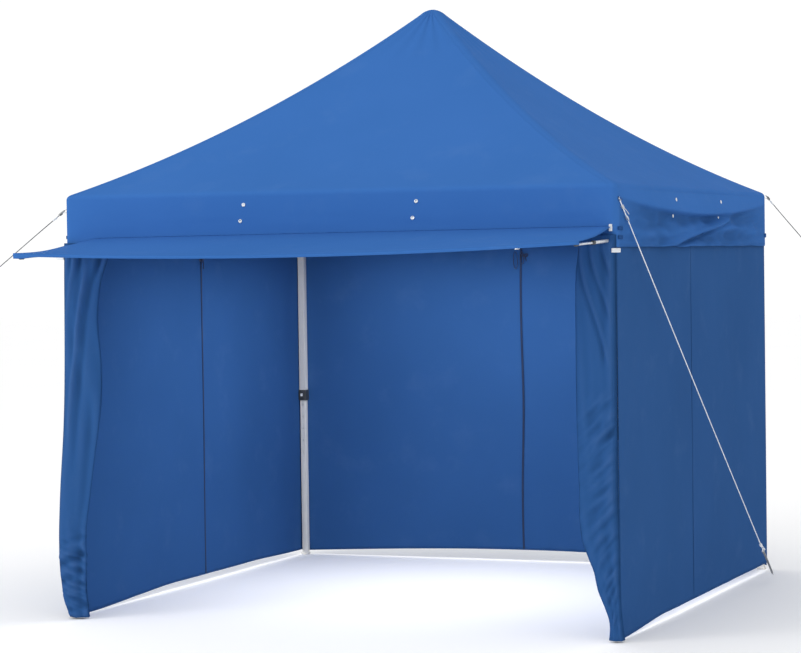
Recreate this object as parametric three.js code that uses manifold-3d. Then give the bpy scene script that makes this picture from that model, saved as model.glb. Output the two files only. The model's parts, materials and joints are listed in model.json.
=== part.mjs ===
// Pop-up canopy: a 3 m x 3 m square shelter on four telescopic legs. Each side holds a row of three scissor
// pairs, folding rafters run from the leg tops to a centre hub, and a sliding mast lifts the roof's peak.
// Units are millimetres, +Z is up, and +Y runs from the open front to the back wall. The origin is on the
// ground under the middle of the shelter's box, awning included.
import * as THREE from 'three';
import { mergeVertices } from 'three/addons/utils/BufferGeometryUtils.js';
import Module from 'manifold-3d';

const wasm = await Module();
wasm.setup();

// ---- Driving dimensions ----
const ROOF_HALF = 1500; // half the roof's side
const EAVE_Z = 2203; // fold between the roof and its valance
const PEAK_Z = 3228;
const EAVE_SLOPE = 0.46; // the hips start this steep at the eaves
const HIP_CURVE = 0.161e-3; // and steepen towards the peak, per mm
const VALANCE_BOTTOM_Z = 1900;
const AWNING = { halfWidth: 1475, reach: 580, backZ: 1990, frontZ: 1898 };
const CLOTH = 2; // thickness of every fabric solid
const FRAME_CENTRE_Y = AWNING.reach / 2; // the frame stands this far behind the origin

const LEG_AXIS = 1462; // the leg axes' distance from the frame's centre, in X and in Y
const TOP_PIVOT_Z = 2112; // pins in the corner brackets and the hub
const SLIDER_PIVOT_Z = 1917;
const SIDE_PIVOT = 60; // from the leg's axis to the first pins, along a side
const DIAGONAL_PIVOT = 50; // from the leg's axis to the rafter's pin, along the diagonal
const UNITS = 3; // scissor pairs on each side

const UPPER_TUBE = { size: 40, wall: 1.5, bottom: 970 };
const BRACKET = { size: 48, bottom: 2068, top: 2180, cap: 10 };
const COLLAR = { size: 48, height: 65 };
const SLIDER = { size: 50, bore: 41.2, height: 60 };
const LOWER_TUBE = { size: 35, wall: 1.5, top: 1200 };
const FOOT = { size: 46, thickness: 12 };
const ADJUSTMENT_HOLES = { radius: 4.5, count: 5, highest: 941, pitch: 74 };
const BUTTON = { width: 14, height: 17.4, depth: 10, floor: 24.5, travel: 3.5 };
const BUTTON_BOSS = { width: 26, height: 40, face: 34, z: 1005 };

const BAR = { endRadius: 11, thickness: 9.6 };
const LUG_RADIUS = 12;
const LAYER_GAP = 0.5; // each bar lies this far from its truss's middle plane
const PIN = { radius: 3.8, holeRadius: 4.5, sides: 8 };
const HUB = { radius: 22.5, bore: 15.5, height: 50 };
const MAST = { radius: 15, wall: 1.5, bottom: 2000, top: 3168, capRadius: 35, capHeight: 26 };

const WALL = { plane: 1491, bottom: 12, top: 1975, frontEnd: 1476 };
const CURTAIN = { front: 1536, back: 1490, outer: 1494, bottom: 12, top: 1960 };
const ROPE_RADIUS = 2.8;
const FIT = 0.3; // gap between pieces that touch

// ---- The scissor geometry ----
const RISE = TOP_PIVOT_Z - SLIDER_PIVOT_Z;
const RUN = (2 * (LEG_AXIS - SIDE_PIVOT)) / UNITS;
const BAR_LENGTH = Math.hypot(RUN, RISE);
const OPEN_ANGLE = Math.atan2(RISE, RUN);
// The rafters keep pace with the sides at every angle, because the two spans shorten in the same ratio.
const RAFTER_LENGTH = (BAR_LENGTH * UNITS) / (2 * Math.SQRT2);
const HUB_PIVOT = Math.SQRT2 * SIDE_PIVOT - DIAGONAL_PIVOT;

// ---- Materials ----
const roofCloth = new THREE.MeshStandardMaterial({ color: 0x3b70b6, roughness: 0.75 });
const wallCloth = new THREE.MeshStandardMaterial({ color: 0x2c5490, roughness: 0.8 });
const curtainCloth = new THREE.MeshStandardMaterial({ color: 0x305c9b, roughness: 0.8 });
const tubeMetal = new THREE.MeshStandardMaterial({ color: 0xafb9c3, roughness: 0.4, metalness: 0.8 });
const darkPlastic = new THREE.MeshStandardMaterial({ color: 0x464b50, roughness: 0.6 });
const palePlastic = new THREE.MeshStandardMaterial({ color: 0xc8ccd0, roughness: 0.5 });
const whiteRope = new THREE.MeshStandardMaterial({ color: 0xe6e6e2, roughness: 0.9 });
const pegSteel = new THREE.MeshStandardMaterial({ color: 0x8b9097, roughness: 0.4, metalness: 0.9 });

// ---- Helpers ----
function solidOf(geometry) {
  const bare = geometry.clone();
  bare.deleteAttribute('normal');
  bare.deleteAttribute('uv');
  const merged = mergeVertices(bare, 1e-3);
  const vertProperties = merged.attributes.position.array;
  return new wasm.Manifold(
    new wasm.Mesh({ numProp: 3, vertProperties, triVerts: new Uint32Array(merged.index.array) }),
  );
}

function geometryOf(solid) {
  const { vertProperties, triVerts } = solid.getMesh();
  const geometry = new THREE.BufferGeometry();
  geometry.setAttribute('position', new THREE.BufferAttribute(vertProperties, 3));
  geometry.setIndex(new THREE.BufferAttribute(triVerts, 1));
  geometry.computeVertexNormals();
  return geometry;
}

function joined(geometries, cuts = []) {
  let solid = solidOf(geometries[0]);
  for (const geometry of geometries.slice(1)) solid = solid.add(solidOf(geometry));
  for (const cut of cuts) solid = solid.subtract(solidOf(cut));
  return geometryOf(solid);
}

function block(low, high) {
  const size = high.map((value, i) => value - low[i]);
  const middle = high.map((value, i) => (value + low[i]) / 2);
  return new THREE.BoxGeometry(...size).translate(...middle);
}

// A square post or bore centred on the Z axis.
function post(size, bottom, top) {
  return block([-size / 2, -size / 2, bottom], [size / 2, size / 2, top]);
}

// A shape drawn in X and Z, given thickness along Y.
function plate(shape, nearY, farY) {
  const options = { depth: farY - nearY, bevelEnabled: false, curveSegments: 4 };
  return new THREE.ExtrudeGeometry(shape, options).rotateX(Math.PI / 2).translate(0, farY, 0);
}

// The two layers of a truss: 1 is the inner one, with the pins, and -1 the outer one, with the holes.
function layerSpan(layer) {
  const far = LAYER_GAP + BAR.thickness;
  return layer > 0 ? [LAYER_GAP, far] : [-far, -LAYER_GAP];
}

// A pin from one layer through the other, at x and z.
function pin(x, z, layer) {
  const length = 1.5 * BAR.thickness + 2 * LAYER_GAP;
  const middle = layer * (BAR.thickness / 2 + LAYER_GAP - length / 2);
  return new THREE.CylinderGeometry(PIN.radius, PIN.radius, length, PIN.sides).translate(x, middle, z);
}

function pinHole(x, z) {
  return new THREE.CylinderGeometry(PIN.holeRadius, PIN.holeRadius, 60, PIN.sides).translate(x, 0, z);
}

function barGeometry(length, pivots, layer) {
  const r = BAR.endRadius;
  const outline = new THREE.Shape();
  outline.absarc(0, 0, r, Math.PI / 2, (3 * Math.PI) / 2);
  outline.absarc(length, 0, r, -Math.PI / 2, Math.PI / 2);
  const bar = plate(outline, ...layerSpan(layer));
  return layer > 0
    ? joined([bar, ...pivots.map((x) => pin(x, 0, layer))])
    : joined([bar], pivots.map((x) => pinHole(x, 0)));
}

// An ear that carries a pivot, standing out along a direction in the XY plane.
function lug(root, reach, z, layer, direction, pinned) {
  const outline = new THREE.Shape();
  outline.moveTo(root, -LUG_RADIUS);
  outline.lineTo(reach, -LUG_RADIUS);
  outline.absarc(reach, 0, LUG_RADIUS, -Math.PI / 2, Math.PI / 2);
  outline.lineTo(root, LUG_RADIUS);
  const ear = plate(outline, ...layerSpan(layer));
  const made = pinned ? joined([ear, pin(reach, 0, layer)]) : joined([ear], [pinHole(reach, 0)]);
  return made.translate(0, 0, z).rotateZ(direction);
}

function addMesh(parent, name, geometry, material) {
  const mesh = new THREE.Mesh(geometry, material);
  mesh.name = name;
  parent.add(mesh);
  return mesh;
}

// ---- Legs ----
const DIAGONAL = Math.PI / 4;
const NEXT_SIDE = Math.PI / 2;

function upperLegGeometry() {
  const { size, wall, bottom } = UPPER_TUBE;
  const bore = size - 2 * wall;
  const collarTop = bottom + COLLAR.height;
  const boss = BUTTON_BOSS;
  const lowBoss = [0, -boss.width / 2, boss.z - boss.height / 2];
  const highBoss = [boss.face, boss.width / 2, boss.z + boss.height / 2];
  const pocketHalf = [BUTTON.width / 2 + FIT, BUTTON.height / 2 + FIT];
  const pocket = block(
    [BUTTON.floor, -pocketHalf[0], boss.z - pocketHalf[1]],
    [boss.face + 10, pocketHalf[0], boss.z + pocketHalf[1]],
  );
  return joined(
    [
      post(size, bottom, BRACKET.top - 1),
      post(BRACKET.size, BRACKET.bottom, BRACKET.top),
      post(COLLAR.size, bottom, collarTop),
      block(lowBoss, highBoss),
      lug(12, SIDE_PIVOT, TOP_PIVOT_Z, -1, 0, false),
      lug(12, SIDE_PIVOT, TOP_PIVOT_Z, -1, NEXT_SIDE, true),
      lug(12, DIAGONAL_PIVOT, TOP_PIVOT_Z, -1, DIAGONAL, false),
    ],
    [post(bore, bottom - 10, BRACKET.top - BRACKET.cap), pocket],
  );
}

function sliderGeometry() {
  const low = SLIDER_PIVOT_Z - SLIDER.height / 2;
  const high = SLIDER_PIVOT_Z + SLIDER.height / 2;
  return joined(
    [
      post(SLIDER.size, low, high),
      lug(12, SIDE_PIVOT, SLIDER_PIVOT_Z, 1, 0, true),
      lug(12, SIDE_PIVOT, SLIDER_PIVOT_Z, 1, NEXT_SIDE, false),
      lug(12, DIAGONAL_PIVOT, SLIDER_PIVOT_Z, 1, DIAGONAL, true),
    ],
    [post(SLIDER.bore, low - 10, high + 10)],
  );
}

function lowerLegGeometry() {
  const { size, wall, top } = LOWER_TUBE;
  const { radius, count, highest, pitch } = ADJUSTMENT_HOLES;
  const holes = Array.from({ length: count }, (_, i) =>
    new THREE.CylinderGeometry(radius, radius, size + 20, PIN.sides)
      .rotateZ(Math.PI / 2)
      .translate(0, 0, highest - i * pitch),
  );
  return joined(
    [post(size, 0, top), post(FOOT.size, 0, FOOT.thickness)],
    [post(size - 2 * wall, FOOT.thickness, top + 10), ...holes],
  );
}

function buttonGeometry() {
  const inner = BUTTON.floor + BUTTON.travel + 0.5;
  const half = [BUTTON.width / 2, BUTTON.height / 2];
  return block(
    [inner, -half[0], BUTTON_BOSS.z - half[1]],
    [inner + BUTTON.depth, half[0], BUTTON_BOSS.z + half[1]],
  );
}

// ---- Roof centre ----
function ring(profile, sides) {
  const points = profile.map(([x, y]) => new THREE.Vector2(x, y));
  return new THREE.LatheGeometry(points, sides).rotateX(Math.PI / 2);
}

function hubGeometry() {
  const half = HUB.height / 2;
  const drum = ring([[0, -half], [HUB.radius, -half], [HUB.radius, half], [0, half]], 24);
  const bore = ring([[0, -60], [HUB.bore, -60], [HUB.bore, 60], [0, 60]], 24);
  const ears = [0, 1, 2, 3].map((k) => {
    const outward = (5 * Math.PI) / 4 + k * NEXT_SIDE;
    return joined([lug(16, HUB_PIVOT, 0, -1, outward, true)]);
  });
  return joined([drum, ...ears], [bore]).translate(0, 0, TOP_PIVOT_Z);
}

function mastGeometry() {
  const { radius, wall, bottom, top, capRadius, capHeight } = MAST;
  return ring(
    [
      [0, top - 20],
      [radius - wall, top - 20],
      [radius - wall, bottom],
      [radius, bottom],
      [radius, top - 6],
      [capRadius, top],
      [capRadius, top + 0.3 * capHeight],
      [0.6 * capRadius, top + 0.8 * capHeight],
      [0, top + capHeight],
    ],
    20,
  );
}

// ---- Fabric ----
// The hips' height at a distance from the roof's centre.
function roofHeight(distance) {
  const inward = ROOF_HALF - distance;
  return EAVE_Z + EAVE_SLOPE * inward + HIP_CURVE * inward * inward;
}

function canopyGeometry() {
  const stations = [60, 150, 300, 500, 700, 900, 1100, 1300];
  const drop = 1.25 * CLOTH;
  const under = stations.map((d) => [d, roofHeight(d) - drop]);
  const over = stations.map((d) => [d, roofHeight(d)]).reverse();
  const inside = ROOF_HALF - CLOTH;
  const profile = [
    [0, PEAK_Z - drop],
    ...under,
    [inside, roofHeight(inside) - drop],
    [inside, VALANCE_BOTTOM_Z],
    [ROOF_HALF, VALANCE_BOTTOM_Z],
    [ROOF_HALF, EAVE_Z],
    ...over,
    [0, PEAK_Z],
  ];
  const square = profile.map(([d, z]) => [d * Math.SQRT2, z]);
  const roof = ring(square, 4).rotateZ(DIAGONAL);
  const { halfWidth, reach, backZ, frontZ } = AWNING;
  const front = -ROOF_HALF - reach;
  const back = -ROOF_HALF + CLOTH / 2;
  const section = new THREE.Shape();
  section.moveTo(front, frontZ - CLOTH);
  section.lineTo(back, backZ - CLOTH);
  section.lineTo(back, backZ);
  section.lineTo(front, frontZ);
  const options = { depth: 2 * halfWidth, bevelEnabled: false };
  // The section lies in Y and Z, and is drawn out along X.
  const awning = new THREE.ExtrudeGeometry(section, options)
    .rotateX(Math.PI / 2)
    .rotateZ(Math.PI / 2)
    .translate(-halfWidth, 0, 0);
  const belowSeam = block(
    [-inside + 0.1, -ROOF_HALF - 10, VALANCE_BOTTOM_Z - 10],
    [inside - 0.1, -ROOF_HALF + 10, backZ - 2 * CLOTH],
  );
  return joined([joined([roof], [belowSeam]), awning]);
}

function sideWallGeometry() {
  return block(
    [WALL.plane - CLOTH, -WALL.frontEnd, WALL.bottom],
    [WALL.plane, WALL.plane, WALL.top],
  );
}

function backWallGeometry() {
  const half = WALL.plane - CLOTH - FIT;
  return block([-half, WALL.plane - CLOTH, WALL.bottom], [half, WALL.plane, WALL.top]);
}

// A front curtain drawn back to its leg: widths of the bundle at heights, from the top down.
function curtainGeometry(widths) {
  const outline = new THREE.Shape();
  outline.moveTo(CURTAIN.outer, CURTAIN.bottom);
  outline.lineTo(CURTAIN.outer, CURTAIN.top);
  for (const [z, width] of widths) outline.lineTo(CURTAIN.outer - width, z);
  return plate(outline, -CURTAIN.front, -CURTAIN.back);
}

// ---- Guy ropes ----
function ropeGeometry(points, steps) {
  const path = new THREE.CatmullRomCurve3(points.map((p) => new THREE.Vector3(...p)));
  const section = new THREE.Shape().absarc(0, 0, ROPE_RADIUS, 0, 2 * Math.PI);
  const options = { steps, curveSegments: 4, bevelEnabled: false, extrudePath: path };
  return new THREE.ExtrudeGeometry(section, options);
}

// Each route starts at its corner loop, in the frame's own centred coordinates.
const FRONT_RIGHT_ROPE = [
  [1504, -1470, 2135],
  [1538, -990, 1705],
  [1572, -510, 1277],
  [1606, -30, 851],
  [1640, 450, 428],
  [1658, 706, 203],
];
const FRONT_LEFT_ROPE = [
  [-1504, -1490, 2130],
  [-1600, -1582, 2022],
  [-1702, -1680, 1905],
  [-1806, -1780, 1786],
];
const BACK_RIGHT_ROPE = [
  [1504, 1497, 2192],
  [1590, 1498, 2088],
  [1680, 1500, 1982],
  [1772, 1502, 1874],
];
const PEG = { length: 232, radius: 5, eye: 11, wire: 3.5 };

// A straight peg in line with its rope, its eye at the origin and its point towards +Z.
function pegGeometry() {
  const { length, radius, eye, wire } = PEG;
  const shaft = ring(
    [[0, eye], [radius, eye], [radius, length - 30], [1, length], [0, length]],
    10,
  );
  const loop = new THREE.TorusGeometry(eye, wire, 6, 14).rotateX(Math.PI / 2);
  return joined([loop, shaft]);
}

// ---- Assembly ----
const canopy = new THREE.Group();
const frame = new THREE.Group();
frame.position.y = FRAME_CENTRE_Y;
canopy.add(frame);

const pivots = [0, BAR_LENGTH / 2, BAR_LENGTH];
const pinnedBar = barGeometry(BAR_LENGTH, pivots, 1);
const drilledBar = barGeometry(BAR_LENGTH, pivots, -1);
const outerRafter = barGeometry(RAFTER_LENGTH, [0, RAFTER_LENGTH], 1);
const innerRafter = barGeometry(RAFTER_LENGTH, [0, RAFTER_LENGTH], -1);
const upperLeg = upperLegGeometry();
const lowerLeg = lowerLegGeometry();
const slider = sliderGeometry();
const button = buttonGeometry();

function addScissors(corner, side) {
  for (let unit = 0; unit < UNITS; unit++) {
    const x = SIDE_PIVOT + unit * RUN;
    const falling = addMesh(corner, `${side}_scissor_${unit + 1}_falling`, pinnedBar, tubeMetal);
    falling.position.set(x, 0, TOP_PIVOT_Z);
    falling.rotation.y = OPEN_ANGLE;
    const rising = addMesh(corner, `${side}_scissor_${unit + 1}_rising`, drilledBar, tubeMetal);
    rising.position.set(x, 0, SLIDER_PIVOT_Z);
    rising.rotation.y = -OPEN_ANGLE;
  }
}

function addRafters(corner, name) {
  const diagonal = new THREE.Group();
  diagonal.rotation.z = DIAGONAL;
  corner.add(diagonal);
  const outer = addMesh(diagonal, `${name}_outer_rafter`, outerRafter, tubeMetal);
  outer.position.set(DIAGONAL_PIVOT, 0, TOP_PIVOT_Z);
  outer.rotation.y = OPEN_ANGLE;
  const inner = addMesh(diagonal, `${name}_inner_rafter`, innerRafter, tubeMetal);
  inner.position.set(
    DIAGONAL_PIVOT + RAFTER_LENGTH * Math.cos(OPEN_ANGLE),
    0,
    TOP_PIVOT_Z - RAFTER_LENGTH * Math.sin(OPEN_ANGLE),
  );
  inner.rotation.y = -OPEN_ANGLE;
}

// Each corner's group has its own side along +X and the side before it along +Y.
const CORNERS = ['front_left', 'front_right', 'back_right', 'back_left'];
const SIDES = ['front', 'right', 'back', 'left'];
CORNERS.forEach((name, k) => {
  const corner = new THREE.Group();
  const towards = (5 * Math.PI) / 4 + k * NEXT_SIDE;
  corner.position.x = Math.SQRT2 * LEG_AXIS * Math.cos(towards);
  corner.position.y = Math.SQRT2 * LEG_AXIS * Math.sin(towards);
  corner.rotation.z = k * NEXT_SIDE;
  frame.add(corner);
  addMesh(corner, `${name}_upper_leg`, upperLeg, tubeMetal);
  addMesh(corner, `${name}_lower_leg`, lowerLeg, tubeMetal);
  addMesh(corner, `${name}_slider`, slider, darkPlastic);
  addMesh(corner, `${name}_leg_button`, button, palePlastic);
  addScissors(corner, SIDES[k]);
  addRafters(corner, name);
});

addMesh(frame, 'centre_hub', hubGeometry(), darkPlastic);
addMesh(frame, 'peak_mast', mastGeometry(), tubeMetal);
addMesh(frame, 'canopy_top', canopyGeometry(), roofCloth);
addMesh(frame, 'right_wall', sideWallGeometry(), wallCloth);
const leftWall = sideWallGeometry().translate(-2 * WALL.plane + CLOTH, 0, 0);
addMesh(frame, 'left_wall', leftWall, wallCloth);
addMesh(frame, 'back_wall', backWallGeometry(), wallCloth);

const rightCurtain = curtainGeometry([
  [CURTAIN.top, 190],
  [1600, 172],
  [700, 168],
  [350, 130],
  [CURTAIN.bottom, 84],
]);
addMesh(frame, 'front_right_curtain', rightCurtain, curtainCloth);
const leftCurtain = curtainGeometry([
  [CURTAIN.top, 236],
  [1650, 196],
  [1150, 184],
  [550, 118],
  [CURTAIN.bottom, 104],
]).rotateZ(Math.PI);
addMesh(frame, 'front_left_curtain', leftCurtain, curtainCloth).position.y = -CURTAIN.front - CURTAIN.back;

addMesh(frame, 'front_right_guy_rope', ropeGeometry(FRONT_RIGHT_ROPE, 40), whiteRope);
addMesh(frame, 'front_left_guy_rope', ropeGeometry(FRONT_LEFT_ROPE, 12), whiteRope);
addMesh(frame, 'back_right_guy_rope', ropeGeometry(BACK_RIGHT_ROPE, 12), whiteRope);

const ropeEnd = new THREE.Vector3(...FRONT_RIGHT_ROPE.at(-1));
const ropeWay = ropeEnd.clone().sub(new THREE.Vector3(...FRONT_RIGHT_ROPE.at(-2))).normalize();
const peg = addMesh(frame, 'ground_peg', pegGeometry(), pegSteel);
peg.position.copy(ropeEnd).addScaledVector(ropeWay, PEG.eye + PEG.wire + FIT);
peg.quaternion.setFromUnitVectors(new THREE.Vector3(0, 0, 1), ropeWay);

export default canopy;
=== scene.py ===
# The finished look of a 3 m pop-up canopy with three walls, two drawn-back front curtains and a front awning.
# Everything is in metres. Points written here are in the legs' own centred frame, +Y towards the back wall,
# and make_piece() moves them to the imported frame, whose origin also counts the awning.
import json
import math

import bpy
import numpy as np
from mathutils import Matrix, Vector, noise

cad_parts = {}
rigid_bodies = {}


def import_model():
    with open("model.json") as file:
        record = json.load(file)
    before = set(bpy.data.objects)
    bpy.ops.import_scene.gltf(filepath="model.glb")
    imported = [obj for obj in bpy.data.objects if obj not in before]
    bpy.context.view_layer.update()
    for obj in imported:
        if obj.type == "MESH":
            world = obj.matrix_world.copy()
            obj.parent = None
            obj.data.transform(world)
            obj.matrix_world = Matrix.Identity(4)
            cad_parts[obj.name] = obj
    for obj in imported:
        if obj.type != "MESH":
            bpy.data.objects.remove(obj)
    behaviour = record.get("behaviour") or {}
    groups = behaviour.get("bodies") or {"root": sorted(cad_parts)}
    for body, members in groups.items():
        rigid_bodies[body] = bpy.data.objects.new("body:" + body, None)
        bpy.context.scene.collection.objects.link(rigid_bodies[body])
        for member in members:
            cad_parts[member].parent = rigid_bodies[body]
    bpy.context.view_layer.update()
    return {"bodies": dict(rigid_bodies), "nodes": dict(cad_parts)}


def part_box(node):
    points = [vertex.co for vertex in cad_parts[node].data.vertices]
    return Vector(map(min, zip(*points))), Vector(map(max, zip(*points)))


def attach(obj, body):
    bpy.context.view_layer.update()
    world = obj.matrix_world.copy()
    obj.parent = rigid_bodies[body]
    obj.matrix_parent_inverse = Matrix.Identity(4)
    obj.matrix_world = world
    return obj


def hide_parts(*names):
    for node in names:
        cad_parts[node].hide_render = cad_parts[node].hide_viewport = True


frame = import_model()

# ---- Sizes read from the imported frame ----
CORNERS = ("front_left", "front_right", "back_right", "back_left")
CORNER_SIGNS = {"front_left": (-1, -1), "front_right": (1, -1), "back_right": (1, 1), "back_left": (-1, 1)}
ROOT = "roof_hub"


def middle(node):
    low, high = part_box(node)
    return (low + high) / 2


LEG = (middle("front_right_lower_leg").x - middle("front_left_lower_leg").x) / 2
CENTRE_Y = (middle("front_left_lower_leg").y + middle("back_left_lower_leg").y) / 2
ROOF_LOW, ROOF_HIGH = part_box("canopy_top")
WALL_LOW, WALL_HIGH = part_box("left_wall")
HALF = ROOF_HIGH.x
PEAK = ROOF_HIGH.z
VALANCE_LOW = 1.90
AWNING_FRONT = ROOF_LOW.y - CENTRE_Y
WALL_X = WALL_LOW.x + 0.001
WALL_TOP = WALL_HIGH.z
WALL_FRONT_Y = WALL_LOW.y - CENTRE_Y
WALL_BACK_Y = WALL_HIGH.y - CENTRE_Y

# ---- Driving sizes of the looks ----
EAVE = 2.203  # the fold between the roof and its valance, as in the CAD
EAVE_SLOPE = 0.46
HIP_CURVE = 0.161
CAP_HALF = 0.06  # the peak is rounded over the mast's cap inside this distance
CAP_CURVE = 7.7
FOLD_ROUNDING = 0.02

ROPE_DIAMETER = 0.0056
FRONT_RIGHT_ROPE = [
    (1.504, -1.470, 2.135),
    (1.538, -0.990, 1.705),
    (1.572, -0.510, 1.277),
    (1.606, -0.030, 0.851),
    (1.640, 0.450, 0.428),
    (1.658, 0.706, 0.203),
]
FRONT_LEFT_ROPE = [
    (-1.504, -1.490, 2.130),
    (-1.600, -1.582, 2.022),
    (-1.702, -1.680, 1.905),
    (-1.806, -1.780, 1.786),
]
BACK_RIGHT_ROPE = [
    (1.504, 1.497, 2.192),
    (1.590, 1.498, 2.088),
    (1.680, 1.500, 1.982),
    (1.772, 1.502, 1.874),
]

# ---- Camera ----
CAMERA_PLACE = (5.124, -13.135, 1.881)
CAMERA_LENS = 116.38
CAMERA_TURN = 0.37878
CAMERA_TILT = 0.02805
CAMERA_ROLL = 0.013554


def make_camera():
    data = bpy.data.cameras.new("camera")
    data.lens = CAMERA_LENS
    data.sensor_width = 36
    data.clip_end = 200
    camera = bpy.data.objects.new("camera", data)
    turn = Matrix.Rotation(CAMERA_TURN, 4, "Z")
    tilt = Matrix.Rotation(math.pi / 2 - CAMERA_TILT, 4, "X")
    roll = Matrix.Rotation(-CAMERA_ROLL, 4, "Z")
    camera.matrix_world = Matrix.Translation(CAMERA_PLACE) @ turn @ tilt @ roll
    bpy.context.scene.collection.objects.link(camera)
    bpy.context.scene.camera = camera


# ---- Node materials ----
class Nodes:
    """Short calls for building one material's node tree."""

    def __init__(self, name):
        self.material = bpy.data.materials.new(name)
        self.material.use_nodes = True
        self.tree = self.material.node_tree
        self.shader = self.tree.nodes["Principled BSDF"]

    def add(self, kind, **settings):
        node = self.tree.nodes.new(kind)
        for key, value in settings.items():
            setattr(node, key, value)
        return node

    def fill(self, socket, value):
        """Sets a socket to a number or a colour, or links another node's output to it."""
        if isinstance(value, tuple):
            socket.default_value = (*value, 1)
        elif isinstance(value, (int, float)):
            socket.default_value = value
        else:
            self.tree.links.new(value, socket)

    def place(self):
        return self.add("ShaderNodeTexCoord").outputs["Object"]

    def attribute(self, name):
        return self.add("ShaderNodeAttribute", attribute_name=name).outputs["Fac"]

    def math(self, operation, first, second=0.0):
        node = self.add("ShaderNodeMath", operation=operation)
        self.fill(node.inputs[0], first)
        self.fill(node.inputs[1], second)
        return node.outputs[0]

    def scaled(self, value, factor, offset=0.0):
        return self.math("ADD", self.math("MULTIPLY", value, factor), offset)

    def noise(self, vector, scale, detail=2.0, roughness=0.5):
        node = self.add("ShaderNodeTexNoise")
        for name, value in (
            ("Scale", scale),
            ("Detail", detail),
            ("Roughness", roughness),
            ("Vector", vector),
        ):
            self.fill(node.inputs[name], value)
        return node.outputs["Fac"]

    def stretched(self, vector, scale):
        node = self.add("ShaderNodeMapping")
        node.inputs["Scale"].default_value = scale
        self.fill(node.inputs["Vector"], vector)
        return node.outputs["Vector"]

    def ramp(self, value, low, high, low_at=0.0, high_at=1.0):
        node = self.add("ShaderNodeValToRGB")
        first, last = node.color_ramp.elements
        first.position, last.position = low_at, high_at
        first.color, last.color = (*low, 1), (*high, 1)
        self.fill(node.inputs["Fac"], value)
        return node.outputs["Color"]

    def mask(self, value, low_at, high_at):
        return self.ramp(value, (0, 0, 0), (1, 1, 1), low_at, high_at)

    def mix(self, share, first, second):
        node = self.add("ShaderNodeMix", data_type="RGBA")
        for index, value in ((0, share), (6, first), (7, second)):
            self.fill(node.inputs[index], value)
        return node.outputs[2]

    def bump(self, height, distance, strength=1.0, under=None):
        node = self.add("ShaderNodeBump")
        for name, value in (("Distance", distance), ("Strength", strength), ("Height", height)):
            self.fill(node.inputs[name], value)
        if under is not None:
            self.fill(node.inputs["Normal"], under)
        return node.outputs["Normal"]

    def set(self, **values):
        for key, value in values.items():
            self.fill(self.shader.inputs[key.replace("_", " ")], value)


def linear(red, green, blue):
    """A colour given as 0-255 display values, as linear light."""
    parts = [value / 255 for value in (red, green, blue)]
    return tuple(p / 12.92 if p <= 0.04045 else ((p + 0.055) / 1.055) ** 2.4 for p in parts)


THREAD_PITCH = 0.0011
STITCH_LENGTH = 0.0045
STITCH_ROWS = (0.007, 0.013)
STITCH_WIDTH = 0.0007
TURNED_HEM = 0.016


def fabric_material(name, colour, deep, roughness, crease_depth):
    """Coated woven polyester.

    The cloth map is in metres. seam_distance and seam_along guide the stitching, and two point values
    mark painted shade in the folds' hollows and a painted highlight on their crests.
    """
    n = Nodes(name)
    cloth = n.add("ShaderNodeUVMap", uv_map="cloth").outputs["UV"]
    place = n.place()
    split = n.add("ShaderNodeSeparateXYZ")
    n.fill(split.inputs[0], cloth)
    warp, weft = (
        n.math("SINE", n.math("MULTIPLY", across, 2 * math.pi / THREAD_PITCH)) for across in split.outputs[:2]
    )
    weave = n.math("MULTIPLY", warp, weft)
    slubs = n.noise(n.stretched(cloth, (40, 900, 1)), 1.0, 2.0)
    creases = n.noise(place, 9.0, 4.0, 0.55)
    base = n.ramp(n.noise(place, 1.3, 3.0), deep, colour, 0.25, 0.75)
    threads = n.math("MULTIPLY", n.math("ADD", n.math("MULTIPLY", weave, 0.04), slubs), 0.22)
    base = n.mix(threads, base, deep)
    dusty = n.mask(n.noise(place, 4.0, 5.0, 0.65), 0.55, 0.95)
    base = n.mix(n.math("MULTIPLY", dusty, 0.10), base, linear(120, 150, 190))
    seam = n.attribute("seam_distance")
    stitches = n.math("DIVIDE", n.attribute("seam_along"), STITCH_LENGTH)
    dash = n.math("LESS_THAN", n.math("FRACT", stitches), 0.72)
    first, second = (
        n.math("LESS_THAN", n.math("ABSOLUTE", n.math("SUBTRACT", seam, row)), STITCH_WIDTH)
        for row in STITCH_ROWS
    )
    stitches = n.math("MULTIPLY", n.math("MAXIMUM", first, second), dash)
    base = n.mix(n.math("MULTIPLY", stitches, 0.8), base, deep)
    # Painted shade darkens the fold hollows, and a painted highlight pales the fold crests.
    base = n.mix(n.math("MULTIPLY", n.attribute("painted_shade"), 0.62), base, tuple(0.42 * c for c in deep))
    base = n.mix(n.math("MULTIPLY", n.attribute("painted_highlight"), 0.40), base, tuple(0.03 + 1.25 * c for c in colour))
    normal = n.bump(creases, crease_depth)
    normal = n.bump(n.math("MULTIPLY_ADD", weave, 0.5), 0.00012, 0.6, normal)
    folded = n.math("LESS_THAN", seam, TURNED_HEM)
    seam_height = n.math("SUBTRACT", n.math("MULTIPLY", folded, 0.6), stitches)
    normal = n.bump(seam_height, 0.0012, 0.7, normal)
    n.set(Base_Color=base, Roughness=n.scaled(creases, 0.16, roughness - 0.08), Normal=normal)
    n.set(Sheen_Weight=0.005, Sheen_Roughness=0.45, Sheen_Tint=(0.55, 0.72, 1.0), Specular_IOR_Level=0.002)
    return n.material


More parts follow.
